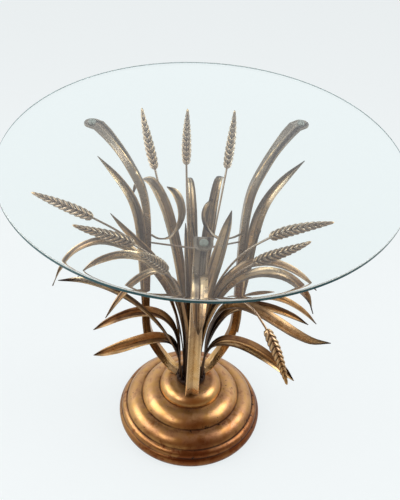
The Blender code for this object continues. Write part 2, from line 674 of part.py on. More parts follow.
def build_front_leaf(gilt, group):
    (point, _, out), (arm_width, depth) = arm_place("front", FRONT_LEAF_ROOT_DROP)
    slopes = LEAF_FOLD_SLOPE + depth / (arm_width / 2)
    seat = slopes * LEAF_ROOT_WIDTH / 2 + (ARM_THICKNESS + LEAF_THICKNESS) / 2 + CLEARANCE - depth
    root = point + out * seat
    controls = (root, root + Vector((0.0, 0.0, FRONT_LEAF_RISE)),
                Vector((FRONT_LEAF_SHOULDER[0], 0.0, GLASS_UNDERSIDE - FRONT_LEAF_SHOULDER[1])),
                Vector((FRONT_LEAF_TIP[0], 0.0, GLASS_UNDERSIDE - FRONT_LEAF_TIP[1])))
    stations = even_stations(lambda t: bezier(controls, t), LEAF_STEPS)
    mesh = leaf_mesh(stations, FRONT_LEAF_WIDTH)
    add_object("leaf_on_front_arm", mesh, gilt, group, ARM_AZIMUTHS["front"])


def build_ears(gilt, group):
    for name, ring, root_azimuth, azimuth, rise, shoulder, tip in EARS:
        path = root_curve(ring, root_azimuth, azimuth, rise, shoulder, tip)
        add_object(name, ear_mesh(path), gilt, group, azimuth)


def build_glass(glass):
    group = make_group("top", GLASS_UNDERSIDE)
    radius = GLASS_DIAMETER / 2
    flat = radius - GLASS_EDGE_ROUND
    outline = [(0.0, GLASS_UNDERSIDE), (flat, GLASS_UNDERSIDE),
               (radius, GLASS_UNDERSIDE + GLASS_EDGE_ROUND), (radius, TABLE_HEIGHT - GLASS_EDGE_ROUND),
               (flat, TABLE_HEIGHT), (0.0, TABLE_HEIGHT)]
    add_object("glass_top", turn(outline, GLASS_SEGMENTS), glass, group)


def main():
    for obj in list(bpy.data.objects):
        bpy.data.objects.remove(obj, do_unlink=True)
    gilt = make_material("gilt_metal", (0.46, 0.29, 0.13), 1.0, 0.38)
    iron = make_material("cast_iron", (0.05, 0.05, 0.05), 0.6, 0.6)
    steel = make_material("zinc_steel", (0.55, 0.55, 0.53), 1.0, 0.35)
    felt = make_material("green_felt", (0.03, 0.09, 0.05), 0.0, 0.95)
    clear = make_material("clear_bumper", (0.55, 0.58, 0.55), 0.0, 0.35, 0.6)
    glass = make_material("clear_glass", (0.90, 0.97, 0.95), 0.0, 0.02, 1.0)
    build_base(gilt, iron, felt, steel)
    sheaf = make_group("sheaf", HUB_BOTTOM)
    build_hub(gilt, sheaf)
    build_arms(gilt, clear, sheaf)
    build_tie_wire(gilt, sheaf)
    build_leaves(gilt, sheaf)
    build_arm_leaves(gilt, sheaf)
    build_curled_leaves(gilt, sheaf)
    build_front_leaf(gilt, sheaf)
    build_ears(gilt, sheaf)
    build_glass(glass)


main()
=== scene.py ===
"""Looks of a wheat-sheaf table: a spun gilt base, folded arms, sheet leaves, cast ears and a glass top.

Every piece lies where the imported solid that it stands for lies, in metres, with +Z up.
"""
import math
from collections import namedtuple

import bmesh
import bpy
from mathutils import Matrix, Vector


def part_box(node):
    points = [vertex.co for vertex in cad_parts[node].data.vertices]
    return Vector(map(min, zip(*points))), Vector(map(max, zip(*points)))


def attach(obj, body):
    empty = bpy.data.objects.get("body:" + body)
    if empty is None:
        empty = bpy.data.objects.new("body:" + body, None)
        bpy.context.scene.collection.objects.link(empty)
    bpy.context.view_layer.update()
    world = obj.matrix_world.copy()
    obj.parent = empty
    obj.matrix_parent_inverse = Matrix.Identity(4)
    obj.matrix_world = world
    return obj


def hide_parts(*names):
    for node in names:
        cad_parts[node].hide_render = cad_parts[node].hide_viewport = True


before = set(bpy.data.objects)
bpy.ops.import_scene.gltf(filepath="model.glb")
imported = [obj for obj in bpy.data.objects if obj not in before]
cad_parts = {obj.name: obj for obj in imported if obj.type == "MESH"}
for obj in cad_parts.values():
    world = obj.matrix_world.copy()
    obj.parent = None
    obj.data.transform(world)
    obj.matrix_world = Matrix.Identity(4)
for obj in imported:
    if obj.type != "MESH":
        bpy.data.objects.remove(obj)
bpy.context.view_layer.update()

Row = namedtuple("Row", "mid side up half lift")
Lamp = namedtuple("Lamp", "name place aim size power tint")

# Camera of the photograph, angles in degrees
CAMERA_PLACE = (0.015, -0.980, 1.233)
CAMERA_PITCH = 40.24
CAMERA_ROLL = 3.41
CAMERA_YAW = -0.70
CAMERA_LENS = 57.6
CAMERA_SENSOR = 36.0

# Floor: in the metal it mirrors dark near the viewer and pale beyond the table
FLOOR_SIZE = 14.0
FLOOR_COLOUR = (0.893, 0.945, 0.962)
FLOOR_GLOW = 0.80
MIRRORED_FLOOR_NEAR = (0.18, 0.14, 0.11)
MIRRORED_FLOOR_FAR = (0.80, 0.79, 0.78)
MIRRORED_FLOOR_FADE = (-0.62, 0.05)
MIRRORED_FLOOR_SLANT = 0.4

# Surroundings, by the direction of a ray: a dim room before the table, and a wall behind it that fades above
WALL_COLOUR = (1.06, 1.08, 1.10)
ROOM_COLOUR = (0.205, 0.106, 0.056)
WALL_FADE = (-0.80, 0.30)
WALL_SLANT = 0.08
CEILING_FADE = (0.42, 0.85)
CEILING_LOSS = 0.70
LAMPS = (
    Lamp("soft_box_left", (-1.35, -0.15, 0.95), (0.0, 0.0, 0.15), (1.1, 1.0), 9.4, (1.0, 0.98, 0.95)),
    Lamp("soft_box_right", (1.20, -0.02, 1.15), (0.0, 0.0, 0.15), (0.9, 1.0), 10.2, (1.0, 0.99, 0.97)),
    Lamp("soft_box_front", (-0.85, -1.00, 0.95), (0.0, 0.0, 0.20), (0.5, 0.6), 3.4, (1.0, 0.96, 0.92)),
)

# Meshes: distances below which points are one, and angles in degrees from which edges are sharp
MERGE_DISTANCE = 1e-6
RING_MERGE_DISTANCE = 1e-5
CREASE_ANGLE = 32.0
ROUND_CREASE_ANGLE = 50.0
EAR_CREASE_ANGLE = 60.0
BEVEL_ANGLE = 60.0
FLAT_NORMAL = 0.9

# How far from its first point a solid's first ring of points reaches
ROOT_REACH = 0.006
ARM_FOOT_REACH = 0.014
WIRE_END_REACH = 0.005

# Sheet leaves
LEAF_THICKNESS = 0.0011
LEAF_ACROSS = 10
LEAF_ALONG = 44
LEAF_BULGE = 0.10
LEAF_WAVER = 0.025
LEAF_WAVER_TURN = 0.55
LEAF_WAVER_SHIFT = 1.7
SHEET_EDGE = 0.0002
SHEET_EDGE_SEGMENTS = 2

# Folded arms, their tabs and rivets; the rivet's outline is in shares of its radius
ARM_THICKNESS = 0.0025
ARM_ACROSS = 8
ARM_ALONG = 96
ARM_FOLLOWED_RINGS = 32
ARM_EDGE = 0.0004
TAB_RADIUS = 0.0125
TAB_ROWS = 14
TAB_START = -math.pi / 5
TAB_SWEEP = math.pi * 0.69
TAB_HOLE_RADIUS = 0.0028
TAB_HOLE_SEGMENTS = 32
DRILL_DEPTH = 4 * ARM_THICKNESS
FOOT_RIVET_INSET = 0.0055
FOOT_RIVET_RADIUS = 0.0026
FOOT_RIVET_OUTLINE = ((1.0, 0.0), (0.92, 0.25), (0.70, 0.42), (0.38, 0.52), (0.0, 0.55), (0.0, 0.0))
FOOT_RIVET_SEGMENTS = 24
FOOT_ROWS = 3

# Bumpers: the crown in shares of its radius and of its height from the top, the barb in radius and
# height over its end
PAD_CROWN = ((0.72, 0.0), (0.88, 0.10), (0.97, 0.35), (1.0, 0.70))
PAD_SEAT_SHARE = 0.97
PAD_SEAT_GAP = 0.0002
PAD_NECK_RADIUS = TAB_HOLE_RADIUS * 0.88
PAD_BARB = ((PAD_NECK_RADIUS, 0.0022), (0.0035, 0.0018), (0.0024, 0.0))
PAD_SEGMENTS = 40

# Tie wire
TIE_RADIUS = 0.0015
TIE_SIDES = 10
TIE_STEPS = 72

# Ears: built upright, then bent along each stem, with one seam of the herringbone up and to the front
EAR_LENGTH = 0.105
EAR_BROAD = 0.0205
EAR_NARROW = 0.0170
EAR_AROUND = 56
EAR_ALONG = 170
EAR_ROUND_SHARE = 0.07
EAR_BASE_SHARE = 0.72
EAR_FULLEST_SHARE = 0.25
EAR_TIP_SHARE = 0.16
EAR_TAPER_POWER = 2.0
EAR_POINT_SHARE = 0.03
EAR_OVERSHOOT = 0.0024
EAR_BEND_STEPS = 60
EAR_SEAM_WAY = (0.0, -0.77, 0.64)
KERNEL_SPACING = 0.0092
KERNEL_LEAD = 0.0125
KERNEL_RELIEF = 0.0024
KERNEL_RELIEF_GAIN = 1.2
KERNEL_CREST = 0.72
KERNEL_RISE_POWER = 0.6
KERNEL_FALL_POWER = 0.8
KERNEL_FADE_BASE = 0.08
KERNEL_FADE_TIP = 0.12
SEAM_SHARE = 0.14
SEAM_HEIGHT = 0.30
STEM_RADIUS = 0.0018
STEM_SIDES = 12
STEM_ALONG = 40
STEM_FINE_STEPS = 400
STEM_LOOK = 3
STEM_SUNK = 0.006
STEM_CREST = 0.6

# Spun base, as radius and height of each groove from the floor to the top of the dome, and how far
# the roll between two grooves swells
BASE_CORNERS = ((0.1295, 0.0), (0.128, 0.0205), (0.1185, 0.033), (0.090, 0.0535), (0.057, 0.074),
                (0.034, 0.095))
BASE_SWELLS = (0.0042, 0.0030, 0.0065, 0.0065, 0.0060)
BASE_WALL = 0.0015
BASE_BORE = 0.0043
BASE_FLAT_SHARE = 0.6
BASE_ROUND = 14
BASE_SEGMENTS = 160

# Hub, with the inset and drop of the points of its rounded edge, and the fillets of braze
HUB_EDGE = ((0.0, 0.004), (0.0008, 0.0018), (0.0028, 0.0004), (0.006, 0.0))
HUB_SEGMENTS = 64
FILLET_SIZE = (0.0036, 0.0036, 0.0032)
FILLET_SEGMENTS = 12
FILLET_RINGS = 8
BRAZE_VOXEL = 0.0007
BRAZE_SMOOTHING = 0.5
BRAZE_SMOOTHINGS = 3

# Glass top
GLASS_RADIUS = 0.300
GLASS_SEGMENTS = 240
GLASS_RIM = 0.006
GLASS_EDGE_ROUND = 0.0011
GLASS_EDGE_SEGMENTS = 3
GLASS_IOR = 1.52

# Where the gilding changes, in metres: on all of it, on the leaves, on the arms and on the base; painted
# shade round the roots, on the tops of the arms, along the grooves and at the front and back of the base
ROOT_SHADE_RADII = (0.026, 0.070)
ROOT_SHADE_BOTTOM = (0.092, 0.100)
ROOT_SHADE_TOP = (0.16, 0.36)
GREYING_HEIGHTS = (0.22, 0.42)
LEAF_RED_HEIGHTS = (0.22, 0.38)
LEAF_RED_SIDE = (-0.16, 0.12)
ARM_LOW_HEIGHTS = (0.24, 0.38)
ARM_TOP_SHADE_HEIGHTS = (0.42, 0.56)
ARM_TAB_HEIGHTS = (0.545, 0.560)
ARM_ASIDE = (0.03, 0.07)
ARM_HOLLOW_SIDE = (-0.01, 0.01)
GROOVE_SHADE_WIDTH = (0.0004, 0.0030)
GROOVE_WEAR = (0.001, 0.012)
BASE_DIRT_HEIGHTS = (0.0, 0.010)
BASE_RUBBED_HEIGHTS = (0.030, 0.060)
BASE_RED_HEIGHTS = (0.014, 0.052)
BASE_FRONT_SHADE_DEPTHS = (-0.120, -0.020)
BASE_BACK_SHADE_DEPTHS = (-0.050, 0.030)

# Where the edge of the glass changes: a painted reflection that lightens it from front to back, and a
# painted highlight at its upper corner
GLASS_EDGE_REFLECTION_DEPTHS = (-0.10, 0.20)
GLASS_HIGHLIGHT_HEIGHTS = (0.5783, 0.5793)


def work_on(piece):
    bpy.ops.object.select_all(action="DESELECT")
    piece.select_set(True)
    bpy.context.view_layer.objects.active = piece


def added(name, add, **settings):
    """A new primitive, made by one of the add operators."""
    bpy.ops.object.select_all(action="DESELECT")
    add(**settings)
    piece = bpy.context.object
    piece.name = name
    return piece


def finish_with(piece, kind, **settings):
    """Adds a modifier and applies it."""
    work_on(piece)
    modifier = piece.modifiers.new(kind.title(), kind)
    for name, value in settings.items():
        setattr(modifier, name, value)
    bpy.ops.object.modifier_apply(modifier=modifier.name)


def round_edges(piece, width, segments):
    finish_with(piece, "BEVEL", width=width, segments=segments, limit_method="ANGLE",
                angle_limit=math.radians(BEVEL_ANGLE))


def tidy_mesh(piece, crease=CREASE_ANGLE):
    """Merges doubles, turns all faces outwards and shades the piece smooth up to the crease angle."""
    work_on(piece)
    bpy.ops.object.mode_set(mode="EDIT")
    bpy.ops.mesh.select_all(action="SELECT")
    bpy.ops.mesh.remove_doubles(threshold=MERGE_DISTANCE)
    bpy.ops.mesh.delete_loose(use_verts=True, use_edges=True, use_faces=False)
    bpy.ops.mesh.select_all(action="SELECT")
    bpy.ops.mesh.normals_make_consistent(inside=False)
    bpy.ops.object.mode_set(mode="OBJECT")
    bpy.ops.object.shade_smooth_by_angle(angle=math.radians(crease))


def shade_round(piece):
    work_on(piece)
    bpy.ops.object.shade_smooth()


def new_grid(name, across, along):
    """A flat grid primitive whose corners lie at plus and minus one half."""
    return added(name, bpy.ops.mesh.primitive_grid_add, x_subdivisions=across, y_subdivisions=along,
                 size=1.0)


def settle(piece, material, slot, body, *nodes):
    """Gives a finished piece its material, its body and the solids that it stands for."""
    piece.data.materials.clear()
    piece.data.materials.append(material)
    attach(piece, body)
    if nodes:
        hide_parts(*nodes)


def rings_of(node, first_of, reach):
    """The rings of points of a lofted solid, from the end whose point comes first by first_of."""
    bm = bmesh.new()
    bm.from_mesh(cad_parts[node].data)
    bmesh.ops.remove_doubles(bm, verts=bm.verts, dist=RING_MERGE_DISTANCE)
    bm.verts.index_update()
    start = min(bm.verts, key=lambda vert: first_of(vert.co))
    ring = {vert for vert in bm.verts if (vert.co - start.co).length < reach}
    seen = set(ring)
    rings = []
    while ring:
        rings.append([vert.co.copy() for vert in sorted(ring, key=lambda vert: vert.index)])
        ring = {edge.other_vert(vert) for vert in ring for edge in vert.link_edges} - seen
        seen |= ring
    bm.free()
    return rings


def middle(points):
    return sum(points, Vector()) / len(points)


def rows_of(rings):
    """Midrib, side, up, half width and fold of each ring of a folded strip."""
    centres = [middle(ring) for ring in rings]
    widest = max(range(len(rings)), key=lambda i: max((p - centres[i]).length for p in rings[i]))
    far = max((p - centres[widest] for p in rings[widest]), key=lambda d: d.length)
    across = sorted(rings[widest], key=lambda p: p.dot(far))
    hint = middle(across[-2:]) - middle(across[:2])
    rows = []
    for index, ring in enumerate(rings):
        ahead = centres[min(index + 1, len(rings) - 1)]
        behind = centres[max(index - 1, 0)]
        along = (ahead - behind).normalized()
        across = sorted(ring, key=lambda p: p.dot(hint))
        side = middle(across[-2:]) - middle(across[:2])
        side = (side - along * side.dot(along)).normalized()
        mid = middle(across[2:-2] or across)
        up = side.cross(along)
        half = (middle(across[-2:]) - middle(across[:2])).length / 2
        rows.append(Row(mid, side, up, half, (middle(across[:2] + across[-2:]) - mid).dot(up)))
    if rows[widest].lift < 0.0:
        rows = [Row(row.mid, row.side, -row.up, row.half, -row.lift) for row in rows]
    return rows


def between(values, place):
    """Smooth value at a place that counts along the list."""
    last = len(values) - 1
    index = min(int(place), last - 1)
    u = place - index
    p1 = values[index]
    p2 = values[index + 1]
    p0 = values[index - 1] if index else p1 * 2 - p2
    p3 = values[index + 2] if index + 2 <= last else p2 * 2 - p1
    bend = p0 * 2 - p1 * 5 + p2 * 4 - p3
    twist = p1 * 3 - p0 - p2 * 3 + p3
    return (p1 * 2 + (p2 - p0) * u + bend * (u * u) + twist * (u * u * u)) / 2


def finer_points(points, count):
    return [between(points, step / count * (len(points) - 1)) for step in range(count + 1)]


def finer_rows(rows, count):
    finer = []
    for mid, side, up, half, lift in zip(*[finer_points(column, count) for column in zip(*rows)]):
        finer.append(Row(mid, side.normalized(), up.normalized(), max(half, SHEET_EDGE), lift))
    return finer


def strip(name, rows, across, thickness, bulge, edge):
    """A folded sheet: the rows of a grid are laid on the rows given, and the sheet gets its thickness."""
    sheet = new_grid(name, across, len(rows) - 1)
    for vertex in sheet.data.vertices:
        row = rows[round((vertex.co.y + 0.5) * (len(rows) - 1))]
        share = 2.0 * vertex.co.x
        fold = abs(share) + bulge * math.sin(math.pi * abs(share))
        vertex.co = row.mid + row.side * (row.half * share) + row.up * (row.lift * fold)
    finish_with(sheet, "SOLIDIFY", thickness=thickness, offset=0.0, use_even_offset=True)
    tidy_mesh(sheet)
    round_edges(sheet, edge, SHEET_EDGE_SEGMENTS)
    tidy_mesh(sheet)
    return sheet


def tube(name, points, radius, sides):
    """A round rod through points: a grid is rolled up, sewn and capped."""
    rod = new_grid(name, sides, len(points) - 1)
    along = [(points[min(i + 1, len(points) - 1)] - points[max(i - 1, 0)]).normalized()
             for i in range(len(points))]
    side = along[0].orthogonal().normalized()
    frames = []
    for direction in along:
        side = (side - direction * side.dot(direction)).normalized()
        frames.append((side, direction.cross(side)))
    for vertex in rod.data.vertices:
        index = round((vertex.co.y + 0.5) * (len(points) - 1))
        angle = math.tau * (vertex.co.x + 0.5)
        first, second = frames[index]
        vertex.co = points[index] + (first * math.cos(angle) + second * math.sin(angle)) * radius
    work_on(rod)
    bpy.ops.object.mode_set(mode="EDIT")
    bpy.ops.mesh.select_all(action="SELECT")
    bpy.ops.mesh.remove_doubles(threshold=MERGE_DISTANCE)
    bpy.ops.mesh.fill_holes(sides=0)
    bpy.ops.object.mode_set(mode="OBJECT")
    tidy_mesh(rod, ROUND_CREASE_ANGLE)
    return rod


def spun(name, outline, steps, place=(0.0, 0.0, 0.0), crease=CREASE_ANGLE):
    """A closed outline of radius and height points, spun round an upright axis through a place."""
    piece = added(name, bpy.ops.mesh.primitive_circle_add, vertices=len(outline), radius=1.0)
    for vertex, (radius, height) in zip(piece.data.vertices, outline):
        vertex.co = (radius + place[0], place[1], height + place[2])
    bpy.ops.object.mode_set(mode="EDIT")
    bpy.ops.mesh.select_all(action="SELECT")
    bpy.ops.mesh.spin(steps=steps, angle=math.tau, center=place, axis=(0.0, 0.0, 1.0))
    bpy.ops.object.mode_set(mode="OBJECT")
    tidy_mesh(piece, crease)
    return piece


def joined(name, pieces):
    bpy.ops.object.select_all(action="DESELECT")
    for piece in pieces:
        piece.select_set(True)
    bpy.context.view_layer.objects.active = pieces[0]
    bpy.ops.object.join()
    pieces[0].name = name
    return pieces[0]


class Wire:
    """A node's output; arithmetic on it adds Math nodes to the same tree."""

    def __init__(self, socket):
        self.socket = socket

    def make(self, kind, settings=None, inputs=None, output=0):
        """Adds a node with its settings and the values or links of its sockets, and gives one output."""
        tree = self.socket.id_data
        node = tree.nodes.new(kind)
        for name, value in (settings or {}).items():
            setattr(node, name, value)
        for name, value in (inputs or {}).items():
            if isinstance(value, Wire):
                tree.links.new(value.socket, node.inputs[name])
            else:
                node.inputs[name].default_value = value
        return Wire(node.outputs[output])

    def math(self, operation, first, second=0.0, clamp=False):
        settings = {"operation": operation, "use_clamp": clamp}
        return self.make("ShaderNodeMath", settings, {0: first, 1: second})

    def __add__(self, other):
        return self.math("ADD", self, other)

    __radd__ = __add__

    def __sub__(self, other):
        return self.math("SUBTRACT", self, other)

    def __rsub__(self, other):
        return self.math("SUBTRACT", other, self)

    def __mul__(self, other):
        return self.math("MULTIPLY", self, other)

    __rmul__ = __mul__

    def __pow__(self, other):
        return self.math("POWER", self, other)

    def __abs__(self):
        return self.math("ABSOLUTE", self)

    def clamped(self):
        return self.math("ADD", self, 0.0, True)

    def part(self, axis):
        """One component of a vector, x, y and z being 0, 1 and 2."""
        return self.make("ShaderNodeSeparateXYZ", None, {0: self}, axis)

    def step(self, low, high):
        """Smooth rise from 0 at low to 1 at high."""
        settings = {"interpolation_type": "SMOOTHSTEP"}
        return self.make("ShaderNodeMapRange", settings,
                         {"Value": self, "From Min": low, "From Max": high})

    def mixed(self, first, second):
        """Colour from first to second, by this factor."""
        return self.make("ShaderNodeMix", {"data_type": "RGBA"}, {0: self, 6: first, 7: second}, 2)

    def noise(self, scale, detail=2.0, roughness=0.5):
        """Noise over this place."""
        return self.make("ShaderNodeTexNoise", None, {"Vector": self, "Scale": scale, "Detail": detail,
                                                      "Roughness": roughness})

    def bump(self, strength, distance):
        """Normal of a surface that rises by this height."""
        return self.make("ShaderNodeBump", None, {"Strength": strength, "Distance": distance,
                                                  "Height": self})


def colour(red, green, blue):
    return (red, green, blue, 1.0)


def new_material(name):
    """A material, its place wire and its Principled shader."""
    material = bpy.data.materials.new(name)
    material.use_nodes = True
    tree = material.node_tree
    place = Wire(tree.nodes.new("ShaderNodeTexCoord").outputs["Object"])
    return material, place, tree.nodes["Principled BSDF"]


def plug(shader, **sockets):
    """Sets or links sockets of a shader, with _ for a space in their names."""
    for name, value in sockets.items():
        socket = shader.inputs[name.replace("_", " ")]
        if isinstance(value, Wire):
            socket.id_data.links.new(value.socket, socket)
        else:
            socket.default_value = value


def normal_at(place):
    return place.make("ShaderNodeNewGeometry", output=1)


def from_axis(place):
    """Distance from the upright axis of the table."""
    x, y = place.part(0), place.part(1)
    return (x * x + y * y) ** 0.5


GOLD = colour(0.680, 0.400, 0.140)
PALE_GOLD = colour(0.880, 0.620, 0.320)
BRONZE = colour(0.290, 0.122, 0.044)
ROSE_BRONZE = colour(0.680, 0.400, 0.245)
RED_BROWN = colour(0.185, 0.055, 0.016)
GREY_BROWN = colour(0.385, 0.352, 0.308)
UMBER = colour(0.016, 0.005, 0.002)


def gilt_surface(place, shader, edges, hollows, bronze_share, roughness=0.24, redness=0.0,
                 root_shade=0.92):
    """Old gilding: gold rubbed pale on edges, bronzed in clouds, rose on top, dark in hollows, painted shade
    underneath and round the hub, greyer higher up.
    """
    clouds = place.noise(11.0, 3.0, 0.6).step(0.60 - bronze_share, 0.84 - bronze_share)
    blotches = place.noise(70.0, 4.0, 0.65)
    specks = place.noise(210.0, 2.0, 0.6).step(0.67, 0.72) * place.noise(40.0).step(0.46, 0.60)
    fine = place.noise(900.0, 2.0, 0.6)
    facing = normal_at(place).part(2)
    # Up-facing faces turn rose-bronze: partly patina, partly a painted reflection of the ceiling.
    upward = facing.step(0.30, 0.95)
    # Down-facing faces are darkened: painted shade underneath.
    below = facing.step(-0.05, -0.75)
    height = place.part(2)
    # Higher up the gilding turns greyer and less metallic.
    greyer_above = height.step(*GREYING_HEIGHTS)
    # Round the hub, among the roots of the bundle, the gilding is darkened: painted shade between the parts.
    low = height.step(*ROOT_SHADE_BOTTOM) * (1.0 - height.step(*ROOT_SHADE_TOP))
    roots = (1.0 - from_axis(place).step(*ROOT_SHADE_RADII)) * low * root_shade
    # Hollows, specks and the painted shade underneath and round the hub darken the gilding together.
    dirt_and_shade = (hollows + below * 0.70 + specks + roots).clamped()
    metal = clouds.mixed(GOLD, BRONZE)
    metal = (upward * blotches.step(0.36, 0.62) * 0.60).mixed(metal, ROSE_BRONZE)
    metal = (blotches.step(0.52, 0.70) * 0.34 + redness).clamped().mixed(metal, RED_BROWN)
    metal = (greyer_above * (0.86 - clouds * 0.30)).mixed(metal, GREY_BROWN)
    metal = (edges * blotches.step(0.30, 0.55)).clamped().mixed(metal, PALE_GOLD)
    metal = dirt_and_shade.mixed(metal, UMBER)
    relief = fine * 0.08 + blotches * 0.30 - specks * 1.5
    dull = clouds * 0.06 + blotches.step(0.35, 0.75) * 0.10 + dirt_and_shade * 0.15
    plug(shader, Base_Color=metal, Metallic=1.0 - dirt_and_shade * 0.35 * (1.0 - greyer_above) - greyer_above * 0.15,
         Roughness=roughness + dull, Normal=relief.bump(0.07, 0.0006))


def along_the_strip(place):
    """Share along a strip, the way from its midrib, and tarnish that runs lengthwise."""
    flat = place.make("ShaderNodeUVMap", {"uv_map": "UVMap"})
    u, v = flat.part(0), flat.part(1)
    drawn = u.make("ShaderNodeCombineXYZ", None,
                   {0: u * 3.2, 1: v * 1.4, 2: place.part(0) * 7.0 + place.part(1) * 5.0})
    return v, abs(u * 2.0 - 1.0), drawn.noise(1.0, 2.0).step(0.43, 0.59)


def gilt_leaf():
    """Leaves have rubbed edges, painted shade along the midrib crease, dirty tips and tarnish; low ones are
    redder: painted shade underneath and redder tarnish.
    """
    material, place, shader = new_material("gilt_leaf")
    v, from_rib, tarnish = along_the_strip(place)
    # Darkening along the midrib is painted shade in the crease of the fold; the tips are dirty and the
    # tarnish runs lengthwise.
    hollows = (1.0 - from_rib.step(0.0, 0.14)) * 0.45 + v.step(0.90, 0.99) * 0.75 + tarnish * 0.66
    edges = from_rib.step(0.88, 0.97) * 0.3 + (1.0 - tarnish) * 0.55
    # Down-facing faces of low leaves turn red-brown: painted shade underneath.
    underside = normal_at(place).part(2).step(0.55, -0.25)
    redder = 0.08 + place.part(0).step(*LEAF_RED_SIDE) * 0.40
    low = 1.0 - place.part(2).step(*LEAF_RED_HEIGHTS)
    gilt_surface(place, shader, edges, hollows, 0.16, redness=(underside * 0.70 + tarnish * redder) * low)
    return material


def gilt_arm():
    """The ridge, towards the axis, is rubbed pale with a painted highlight, and the groove on the outer face
    has painted shade; low down the front arm is pale, partly rubbed and partly a painted reflection, and the
    others red; the tops have painted shade.
    """
    material, place, shader = new_material("gilt_arm")
    _, from_rib, tarnish = along_the_strip(place)
    level = place.make("ShaderNodeVectorMath", {"operation": "MULTIPLY"}, {0: place, 1: (1.0, 1.0, 0.0)})
    outward = place.make("ShaderNodeVectorMath", {"operation": "DOT_PRODUCT"},
                         {0: level, 1: normal_at(place)}, 1)
    hollow_side = outward.step(*ARM_HOLLOW_SIDE)
    rib = 1.0 - from_rib.step(0.03, 0.14)
    height = place.part(2)
    below_tab = 1.0 - height.step(*ARM_TAB_HEIGHTS)
    # The tops of the arms are darkened with painted shade, which dims their reflection of the wall.
    painted_top_shade = height.step(*ARM_TOP_SHADE_HEIGHTS) * 0.40 * (1.0 - rib)
    low = 1.0 - height.step(*ARM_LOW_HEIGHTS)
    aside = abs(place.part(0)).step(*ARM_ASIDE)
    # Low down the front arm is pale, partly rubbed and partly a painted reflection, and the side arms are
    # redder.
    redness = aside * low * 0.55
    rubbed = (1.0 - aside) * low
    # The ridge on the inner face is pale: rubbing and a painted highlight.
    edges = (from_rib.step(0.84, 0.96) * 0.5 + rib * (1.0 - hollow_side)).clamped() * below_tab
    edges = edges * (1.0 - redness) + rubbed * 0.55
    # The groove on the outer face is darkened with painted shade, and tarnish runs lengthwise.
    hollows = rib * hollow_side * 0.4 * (1.0 - rubbed) + painted_top_shade + tarnish * (0.55 - rubbed * 0.35)
    gilt_surface(place, shader, edges, hollows, 0.10, redness=redness, root_shade=0.15)
    return material


def gilt_ear():
    """The crests of the kernels are pale, rubbed and with a painted highlight, and the hollows between them
    are dark with dirt and painted shade.
    """
    material, place, shader = new_material("gilt_ear")
    crest = place.make("ShaderNodeAttribute", {"attribute_name": "crest"}, output=2)
    # Pale crests are rubbing and a painted highlight; dark hollows are dirt and painted shade.
    gilt_surface(place, shader, crest.step(0.72, 1.0) * 0.9, 0.95 * (1.0 - crest.step(0.10, 0.62)), 0.10)
    return material


def gilt_wire():
    material, place, shader = new_material("gilt_wire")
    rubbed = place.noise(60.0, 2.0).step(0.55, 0.80)
    gilt_surface(place, shader, rubbed * 0.6, (1.0 - rubbed) * 0.15, 0.22)
    return material


def gilt_base():
    """The base has dark lines of painted shade and chips at its grooves, a dirty foot, and red low down,
    with red painted shade at the front and back.
    """
    material, place, shader = new_material("gilt_base")
    radius = from_axis(place)
    depth, height = place.part(1), place.part(2)
    line = near = None
    for groove_radius, groove_height in BASE_CORNERS[1:-1]:
        away = ((radius - groove_radius) ** 2.0 + (height - groove_height) ** 2.0) ** 0.5
        # Each groove gets a dark line: painted shade in the crease between two rolls.
        ring = (1.0 - away.step(*GROOVE_SHADE_WIDTH)) * (0.35 + 0.65 * place.noise(18.0, 2.0).step(0.35, 0.60))
        line = ring if line is None else line.math("MAXIMUM", line, ring)
        worn = 1.0 - away.step(*GROOVE_WEAR)
        near = worn if near is None else near.math("MAXIMUM", near, worn)
    foot = (1.0 - height.step(*BASE_DIRT_HEIGHTS)) * place.noise(50.0).step(0.30, 0.70)
    chips = place.noise(120.0, 3.0, 0.6).step(0.60, 0.65) * place.noise(14.0).step(0.48, 0.62) * near
    hollows = (line * 0.80 + chips * 0.9 + foot * 0.45).clamped()
    rubbed = place.noise(22.0, 3.0).step(0.55, 0.80) * 0.5 * height.step(*BASE_RUBBED_HEIGHTS)
    low = (1.0 - height.step(*BASE_RED_HEIGHTS)) * 0.46
    # Redder at the front, a painted shade for the dim room it mirrors, and at the back, also painted shade.
    front = (1.0 - depth.step(*BASE_FRONT_SHADE_DEPTHS)) * 0.34
    back = depth.step(*BASE_BACK_SHADE_DEPTHS) * 0.26
    bare = place.noise(26.0, 4.0, 0.65).step(0.46, 0.62) * (0.10 + near * 0.30)
    gilt_surface(place, shader, rubbed, hollows, 0.16, roughness=0.28, redness=low + front + bare + back)
    return material


def show(material, share, shader, other):
    """Makes a material's surface a mix of its shader and, by a share, of another one."""
    tree = material.node_tree
    both = share.make("ShaderNodeMixShader", None, {0: share, 1: Wire(shader.outputs[0]), 2: other})
    tree.links.new(both.socket, tree.nodes["Material Output"].inputs["Surface"])


def lets_light_by(material, shader, tint):
    """Lets the light of lamps pass, with a tint."""
    tree = material.node_tree
    shadow = Wire(tree.nodes.new("ShaderNodeLightPath").outputs["Is Shadow Ray"])
    clear = shadow.make("ShaderNodeBsdfTransparent", None, {"Color": tint})
    show(material, shadow, shader, clear)


def clear_glass():
    material, _, shader = new_material("clear_glass")
    plug(shader, Base_Color=colour(0.952, 1.000, 0.998), Transmission_Weight=1.0, IOR=GLASS_IOR,
         Roughness=0.0)
    lets_light_by(material, shader, colour(0.93, 0.97, 0.96))
    return material


